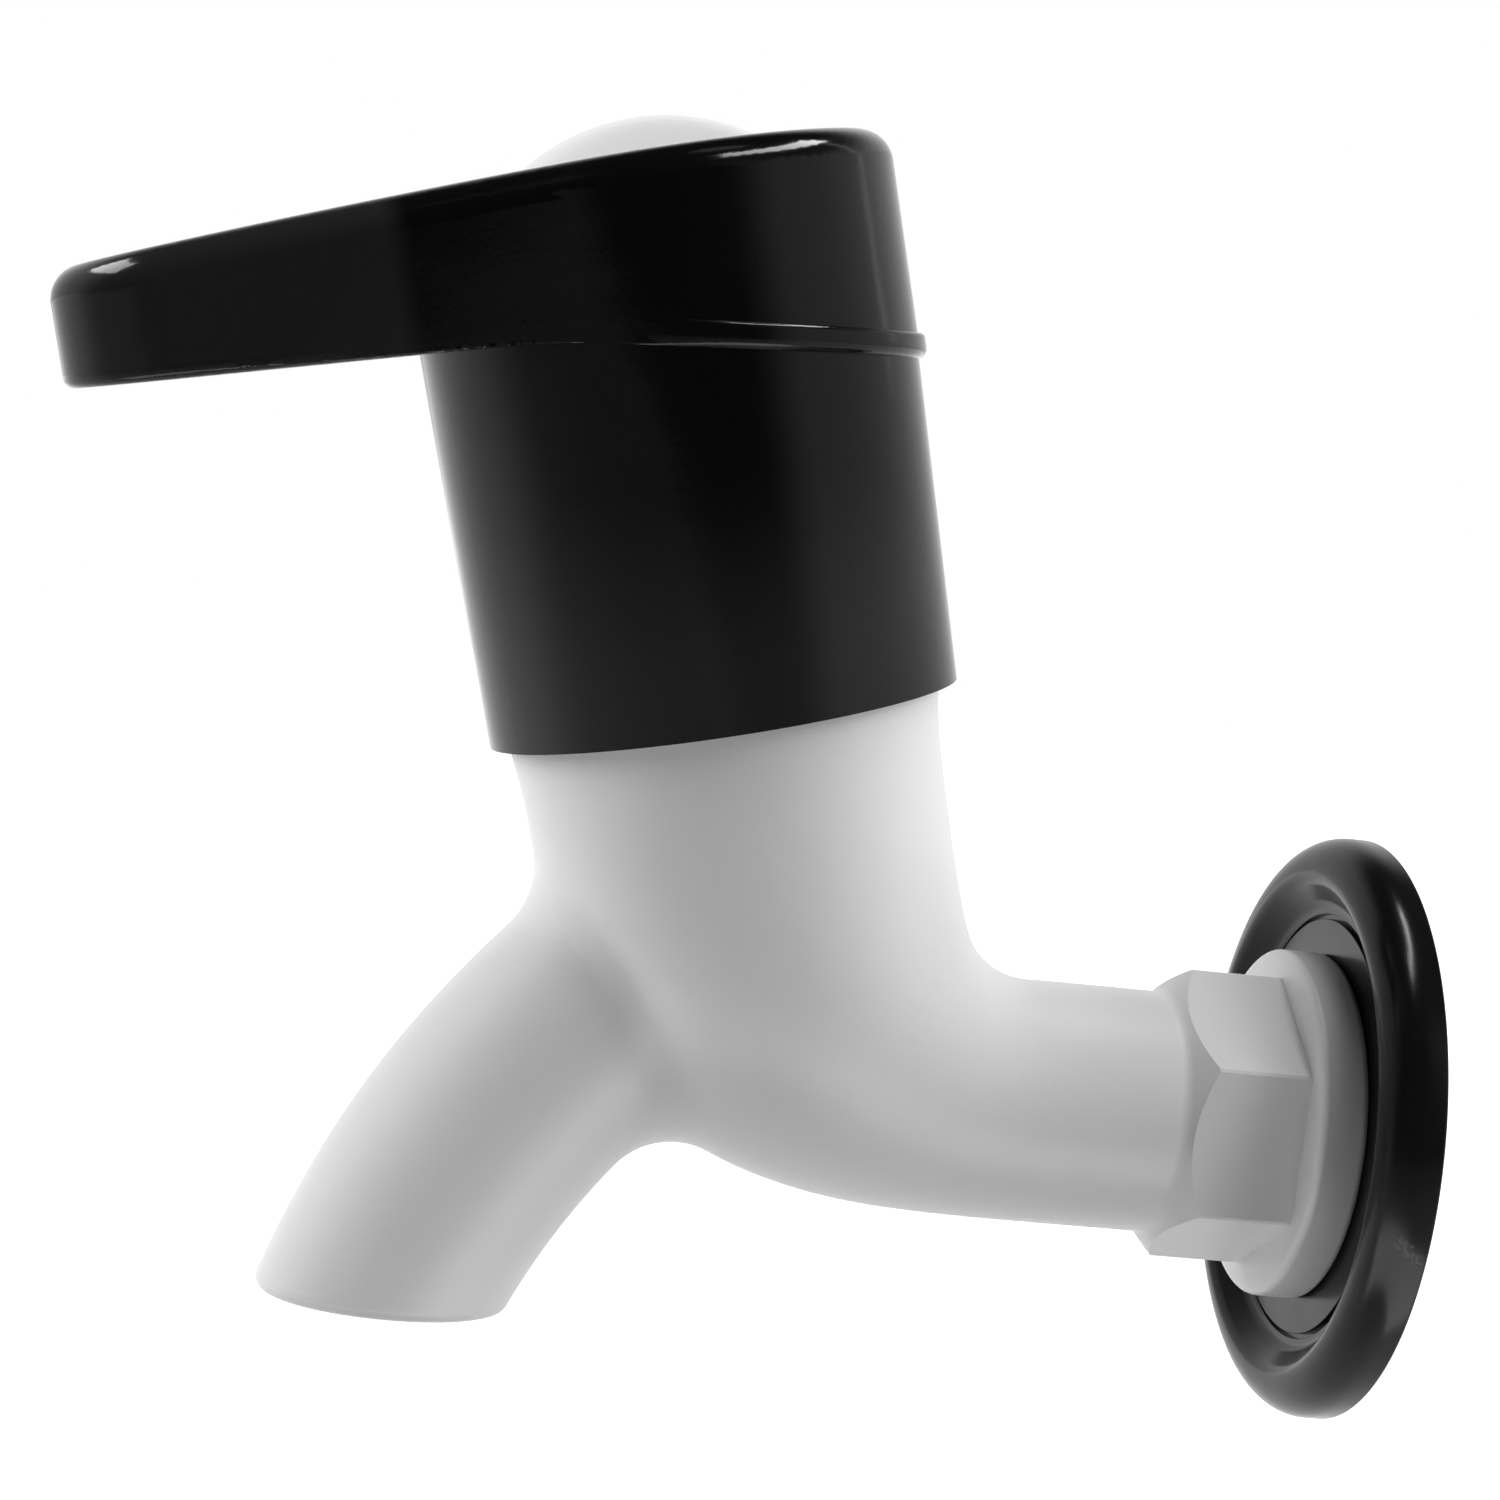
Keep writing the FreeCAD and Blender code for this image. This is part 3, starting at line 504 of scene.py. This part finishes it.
body_plastic = white_plastic("body_plastic", base=0.80, gloss=0.40)
tap_shell = moulded_copy("tap_body_shell", "tap_body", body_plastic, fit=room_for_thread)
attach(tap_shell, "tap")
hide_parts("tap_body")


# The inlet thread: a half inch pipe thread, moulded on the tail in the same white plastic. Its one
# ridge winds right-handed from behind the collar and fades out at both ends.
thread_crest = 10.4775
thread_core = 9.25
thread_pitch = 1.814
thread_foot = 1.5
thread_land = 0.45
thread_end = 7.7
thread_length = 8.3
thread_fade = 0.06
steps_a_turn = 96
winder, given, winder_sockets = new_tree("thread", Core="Float", Rise="Float", Turns="Float", Fade="Float",
                                         End="Float", Steps="Int", Material="Material")
ridge = winder.node("GeometryNodeMeshToCurve", {}, (given["Geometry"],))
helix = winder.node("GeometryNodeCurveSpiral", {},
                    {"Resolution": given["Steps"], "Rotations": given["Turns"], "Start Radius": given["Core"],
                     "End Radius": given["Core"], "Height": given["Rise"], "Reverse": True})
helix = winder.node("GeometryNodeSetCurveNormal", {"mode": "Z_UP"}, (helix,))
along = winder.node("GeometryNodeSplineParameter", {}, {}, "Factor")
fullness = along.maths("MINIMUM", along, 1 - along).smooth(0, given["Fade"])
wound = winder.node("GeometryNodeCurveToMesh", {},
                    {"Curve": helix, "Profile Curve": ridge, "Scale": fullness, "Fill Caps": True})
shift = winder.node("ShaderNodeCombineXYZ", {}, {"Y": given["End"]})
wound = winder.node("GeometryNodeTransform", {},
                    {"Geometry": wound, "Rotation": (math.radians(90), 0, 0), "Translation": shift})
close_tree(winder, wound, given["Material"])
ridge_height = thread_crest - thread_core
ridge_outline = ((0, -thread_foot / 2), (ridge_height, -thread_land / 2),
                 (ridge_height, thread_land / 2), (0, thread_foot / 2))
ridge_mesh = bpy.data.meshes.new("ridge_outline")
ridge_mesh.from_pydata([(x * mm, y * mm, 0) for x, y in ridge_outline], [(0, 1), (1, 2), (2, 3), (3, 0)], [])
thread = grown("inlet_thread_ridge", ridge_mesh, winder, winder_sockets, sharp=30, Core=thread_core * mm,
               Rise=thread_length * mm, Turns=thread_length / thread_pitch, Fade=thread_fade,
               End=thread_end * mm, Steps=steps_a_turn, Material=body_plastic.material)
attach(thread, "tap")


# The seat's rubber ring and the two ceramic discs: fired alumina, ground flat and lapped to a mirror
# where they meet. They lie in the headwork's sleeve, and the upper disc turns with the spindle.
def finish_node(finish, *nodes):
    """Gives solids that are shown as they come from the frame their material."""
    for node in nodes:
        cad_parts[node].material_slots[0].material = finish.material


def ceramic():
    """Ivory alumina, with grains that are a little darker and not all equally smooth."""
    finish = Finish("alumina", Specular_IOR_Level=0.6)
    grains = finish.noise(scale=2800, detail=3.0, roughness=0.7)
    pores = finish.specks(scale=3200, size=0.16, rarity=0.85)
    tone = finish.mix(grains, (0.78, 0.75, 0.68, 1), (0.86, 0.84, 0.78, 1))
    finish.set(Base_Color=finish.mix(pores * 0.6, tone, (0.42, 0.39, 0.33, 1)))
    finish.set(Roughness=0.14 + 0.12 * grains + 0.3 * pores)
    finish.rough_up(grains - pores, distance=0.00001)
    return finish


def rubber():
    """Moulded black rubber: matt, with talc in its pores."""
    finish = Finish("seal_rubber")
    bloom = finish.noise(scale=420, detail=4.0, roughness=0.6)
    pores = finish.noise(scale=5200, detail=3.0, roughness=0.7)
    finish.set(Base_Color=finish.mix(bloom.smooth(0.45, 0.75), grey(0.012), grey(0.035)))
    finish.set(Roughness=0.62 + 0.2 * (bloom - 0.5))
    finish.rough_up(pores + 0.5 * bloom, distance=0.00003)
    return finish


finish_node(ceramic(), "fixed_disc", "moving_disc")
finish_node(rubber(), "seat_seal", "headwork_gasket", "spindle_oring_lower", "spindle_oring_upper")


# The headwork: a sleeve turned from brass bar, with its thread, flange and hexagon, and the spindle
# that turns in it. Fine tool rings run round both, and the brass is a little tarnished.
lean = math.radians(15.5)
headwork_axis = Vector((0.0, -math.sin(lean), math.cos(lean)))


def turned_metal(name, bright, dull, gloss):
    """Metal from the lathe: rings left by the tool follow one another along the headwork's axis."""
    finish = Finish(name, Metallic=1.0)
    rings = finish.node("ShaderNodeTexNoise", {"noise_dimensions": "1D"},
                        {"W": finish.along(finish.place(), headwork_axis), "Scale": 7000, "Detail": 3.0})
    tarnish = finish.noise(scale=260, detail=5.0, roughness=0.6)
    finish.set(Base_Color=finish.mix(tarnish.smooth(0.35, 0.75), bright, dull))
    finish.set(Roughness=gloss + 0.16 * (rings - 0.5) + 0.2 * tarnish.smooth(0.4, 0.8))
    finish.rough_up(rings, distance=0.00001)
    return finish


turned_brass = turned_metal("turned_brass", (0.83, 0.62, 0.30, 1), (0.55, 0.37, 0.16, 1), gloss=0.22)
finish_node(turned_brass, "headwork_body", "spindle")


# The friction washer: a thin ring stamped from white nylon sheet, greased, between the spindle's foot
# and the headwork's shoulder.
def nylon():
    """White nylon, shinier where there is less grease."""
    finish = Finish("washer_nylon")
    grease = finish.noise(scale=700, detail=3.0)
    finish.set(Base_Color=finish.mix(grease, (0.74, 0.73, 0.68, 1), (0.84, 0.83, 0.79, 1)))
    finish.set(Roughness=0.3 + 0.25 * grease)
    finish.rough_up(finish.noise(scale=4200), distance=0.00001)
    return finish


finish_node(nylon(), "friction_washer")


# Steel small parts: the spring clip that keeps the spindle in, and the screw with its washer that hold
# the lever down. Blanked and rolled, then zinc plated.
plated_steel = turned_metal("plated_steel", (0.66, 0.67, 0.69, 1), (0.48, 0.49, 0.52, 1), gloss=0.24)
finish_node(plated_steel, "retaining_clip", "screw_washer", "handle_screw")


# The handle's skirt and lever: two mouldings of glossy black plastic, snapped together. The skirt's band
# stands proud of the round hub only. Along the arm the lever's wall comes down flush over it.
handle_pivot = -59.0 * mm
band_top = 78.0 * mm
band_height = 2.6 * mm
back_slope = math.tan(math.radians(10.9))
front_slope = math.tan(math.radians(2.8))
band_bend = 14.0 * mm
bend_reach = 7.15 * mm
band_fade = (-6.0 * mm, 10.0 * mm)
band_proud = 0.65 * mm
band_reach = 1.1 * band_height
sleeve_radius = 24.15 * mm
sleeve_foot = 22.8 * mm
flush_gap = 0.04 * mm
joint_reach = 2 * flush_gap
arm_way = Vector((0.0, -math.cos(lean), -math.sin(lean)))
# Where the painted sheen lies: low on the skirt, below these levels, and out along the arm, beyond these
# reaches.
skirt_sheen_levels = (62.0 * mm, 42.0 * mm)
arm_sheen_reach = (25.0 * mm, 28.0 * mm)
wall_fade = (10.0 * mm, 20.0 * mm)
wall_overhang = 1.3 * mm
beside_wall = 5.0 * mm
well_reach = 16.0 * mm
# How a face may lean and still count as the lever's wall, the lever's top or the skirt's sleeve.
wall_tilt = 0.2
top_tilt = 0.012
top_slopes = (-0.35, -0.285)
sleeve_match = 0.97
lever_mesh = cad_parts["handle_lever"].data
lever_surface = BVHTree.FromPolygons([vert.co for vert in lever_mesh.vertices],
                                     [face.vertices for face in lever_mesh.polygons])


def on_handle(point):
    """A point's level along the headwork's axis, and how far it is in front of the axis."""
    behind = point.y - handle_pivot
    return (point.z * math.cos(lean) - behind * math.sin(lean),
            -behind * math.cos(lean) - point.z * math.sin(lean))


def eased(value, low, high):
    """Runs softly from 0 at low to 1 at high."""
    share = min(max((value - low) / (high - low), 0.0), 1.0)
    return share * share * (3 - 2 * share)


def joint_level(forward):
    """The level of the joint between skirt and lever: two slopes with a soft bend between them."""
    past_bend = min(max(forward - band_bend + bend_reach, 0.0), 2 * bend_reach)
    beyond = max(forward - band_bend - bend_reach, 0.0)
    level = band_top - bend_reach * back_slope + min(forward - band_bend + bend_reach, 0.0) * back_slope
    level += past_bend * back_slope + (front_slope - back_slope) * past_bend ** 2 / (4 * bend_reach)
    return level + beyond * front_slope


def sink_band(work):
    """Brings the skirt's band flush with the lever's wall in front of the hub."""
    for vert in work.verts:
        level, forward = on_handle(vert.co)
        on_sleeve = math.hypot(vert.co.x, forward) < sleeve_radius
        if forward < band_fade[0] or on_sleeve or level < joint_level(forward) - band_reach:
            continue
        beside = vert.co + headwork_axis * beside_wall
        nearest, outwards, face, gap = lever_surface.find_nearest(beside)
        stand = (beside - nearest).dot(outwards)
        if 0 < stand and gap < 2 * band_proud and abs(outwards.dot(headwork_axis)) < wall_tilt:
            vert.co -= outwards * (stand + flush_gap) * eased(forward, *band_fade)


def lower_wall(work):
    """Brings the lever's wall down over the flush part of the band."""
    for vert in work.verts:
        level, forward = on_handle(vert.co)
        if forward > wall_fade[0] and abs(level - joint_level(forward)) < joint_reach:
            vert.co -= headwork_axis * wall_overhang * eased(forward, *wall_fade)


def well_edge(edge):
    """Whether an edge parts the lever's top, which is arched along the lever only, from the well."""
    level, forward = on_handle(edge.verts[0].co)
    if level < band_top or math.hypot(edge.verts[0].co.x, forward) > well_reach:
        return False
    on_top = [abs(face.normal.x) < top_tilt and top_slopes[0] < face.normal.y < top_slopes[1]
              for face in edge.link_faces]
    return len(on_top) == 2 and on_top[0] != on_top[1]


def round_sleeve(mesh):
    """Shades the skirt's sleeve as the round form it is."""
    shades = [corner.vector.copy() for corner in mesh.corner_normals]
    for face in mesh.polygons:
        points = [mesh.vertices[index].co for index in face.vertices]
        ways = [Vector((point.x, 0, 0)) + arm_way * on_handle(point)[1] for point in points]
        upright = face.normal.dot(ways[0].normalized()) > sleeve_match
        if upright and all(sleeve_foot < way.length < sleeve_radius for way in ways):
            for corner, way in zip(face.loop_indices, ways):
                shades[corner] = way.normalized()
    mesh.normals_split_custom_set(shades)


handle_plastic = black_plastic("handle_plastic", base=0.003, gloss=0.13)
place = handle_plastic.node("ShaderNodeVectorMath", {"operation": "SUBTRACT"},
                            (handle_plastic.place(), (0.0, handle_pivot, 0.0)))
height = handle_plastic.along(place, headwork_axis)
reach = handle_plastic.along(place, arm_way)
# Painted sheen: the black is made lighter low on the skirt and along the lever's arm. It stands in for the
# bright surround that the gloss reflects there.
painted_sheen = height.maths("MAXIMUM", height.smooth(*skirt_sheen_levels), reach.smooth(*arm_sheen_reach))
painted_sheen = painted_sheen * (0.75 + 0.5 * handle_plastic.noise(scale=60, detail=3.0))
handle_plastic.set(Base_Color=handle_plastic.mix(painted_sheen, handle_plastic.now("Base Color"), grey(0.018)))
for node, fit, crease in (("handle_skirt", sink_band, None), ("handle_lever", lower_wall, well_edge)):
    piece = moulded_copy(node + "_shell", node, handle_plastic, fit, crease)
    round_sleeve(piece.data)
    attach(piece, "handle")
    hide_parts(node)


# The cap: a small white dome, pressed into the well in the lever's top. It hides the screw.
cap_plastic = white_plastic("cap_plastic", base=0.78, gloss=0.2)
cap = moulded_copy("handle_cap_shell", "handle_cap", cap_plastic)
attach(cap, "handle")
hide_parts("handle_cap")
